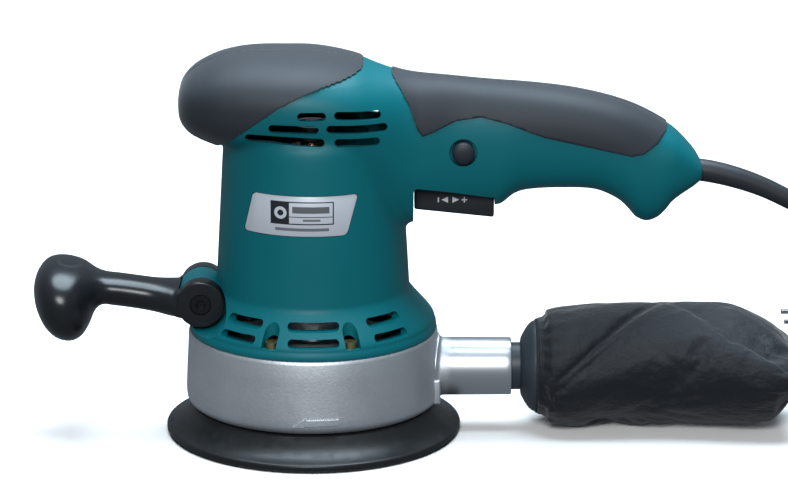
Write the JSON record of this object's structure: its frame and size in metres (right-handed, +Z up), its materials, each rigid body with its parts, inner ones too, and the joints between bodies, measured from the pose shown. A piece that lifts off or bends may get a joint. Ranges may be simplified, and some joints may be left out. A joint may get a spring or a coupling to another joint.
{
  "type": "random orbital sander",
  "caption": "Barrel-bodied random orbital sander with a rear trigger handle, a tilting front palm handle, a cast base with a dust nozzle, a dust bag and a mains lead.",
  "frame": {"origin": "where the motor axis meets the sanding face", "axes": "+Z up along the motor axis, +X towards the rear handle and dust bag, -Y the tool's left side with the lock-on button"},
  "size_m": [0.5102, 0.2115, 0.1975],
  "materials": {
    "teal_plastic": "fine moulded grain",
    "rubber_grip": "matte, soft touch",
    "black_plastic": "semi-gloss moulding",
    "label": "satin foil",
    "steel": "zinc-plated",
    "cast_silver": "silver paint on a casting",
    "laminations": "stacked steel sheets",
    "copper": "enamelled copper",
    "brass": "stamped",
    "carbon": "pressed carbon",
    "fan_plastic": "moulded",
    "circuit": "resin board",
    "pad_foam": "skinned foam",
    "hook_fabric": "hook-and-loop",
    "collar_plastic": "moulded",
    "bag_fabric": "fine woven",
    "cord_rubber": "smooth sheath"
  },
  "bodies": {
    "tool": {"left_housing": "teal_plastic", "right_housing": "teal_plastic", "left_front_grip": "rubber_grip", "right_front_grip": "rubber_grip", "left_rear_grip": "rubber_grip", "right_rear_grip": "rubber_grip", "name_plate": "label", "housing_screws": "steel", "base_casting": "cast_silver", "base_screws": "steel", "bearing_plate": "cast_silver", "plate_screws": "steel", "lower_bearing_outer": "steel", "upper_bearing_outer": "steel", "stator_core": "laminations", "stator_coils": "copper", "brush_holders": "brass", "brushes": "carbon", "brush_springs": "steel", "switch_body": "black_plastic", "speed_module": "circuit", "cord_clamp": "black_plastic", "strain_relief": "cord_rubber", "cord_lead": "cord_rubber", "cord_coil": "cord_rubber", "coil_tie": "black_plastic", "plug_body": "cord_rubber", "plug_pins": "steel", "handle_bolt": "steel"},
    "rotor": {"armature_shaft": "steel", "armature_core": "laminations", "armature_coils": "copper", "commutator": "copper", "cooling_fan": "fan_plastic", "dust_fan": "fan_plastic", "eccentric_hub": "cast_silver", "lower_bearing_inner": "steel", "lower_bearing_balls": "steel", "upper_bearing_inner": "steel", "upper_bearing_balls": "steel", "pad_bearing_outer": "steel"},
    "pad": {"pad_spindle": "steel", "pad_plate": "fan_plastic", "pad_foam": "pad_foam", "pad_facing": "hook_fabric", "pad_screw": "steel", "pad_bearing_inner": "steel", "pad_bearing_balls": "steel"},
    "trigger": {"trigger": "black_plastic"},
    "dial": {"speed_dial": "black_plastic"},
    "lock": {"lock_button": "rubber_grip"},
    "handle": {"front_handle": "black_plastic", "handle_nut": "steel"},
    "bag": {"bag_collar": "collar_plastic", "bag_band": "black_plastic", "dust_bag": "bag_fabric"}
  },
  "joints": [
    {"name": "motor_spin", "type": "hinge", "parent": "tool", "child": "rotor", "pos_m": [0, 0, 0.1], "axis": [0, 0, 1], "continuous": true},
    {"name": "pad_spin", "type": "hinge", "parent": "rotor", "child": "pad", "pos_m": [0, -0.0025, 0.02], "axis": [0, 0, 1], "continuous": true},
    {"name": "trigger_press", "type": "hinge", "parent": "tool", "child": "trigger", "pos_m": [0.0544, 0, 0.1249], "axis": [0, -1, 0], "range_deg": [0, 6], "stiffness_Nm_per_rad": 0.4, "springref_deg": -6.88},
    {"name": "dial_turn", "type": "hinge", "parent": "trigger", "child": "dial", "pos_m": [0.074, 0, 0.1221], "axis": [0, 1, 0], "range_deg": [-150, 150]},
    {"name": "lock_push", "type": "slide", "parent": "tool", "child": "lock", "axis": [0, 1, 0], "range_m": [0, 0.003], "stiffness_N_per_m": 300, "springref_m": -0.002},
    {"name": "handle_swing", "type": "hinge", "parent": "tool", "child": "handle", "pos_m": [-0.0564, 0, 0.07], "axis": [0, 1, 0], "range_deg": [-25, 35]},
    {"name": "bag_pull", "type": "slide", "parent": "tool", "child": "bag", "axis": [1, 0, 0], "range_m": [0, 0.02]}
  ]
}
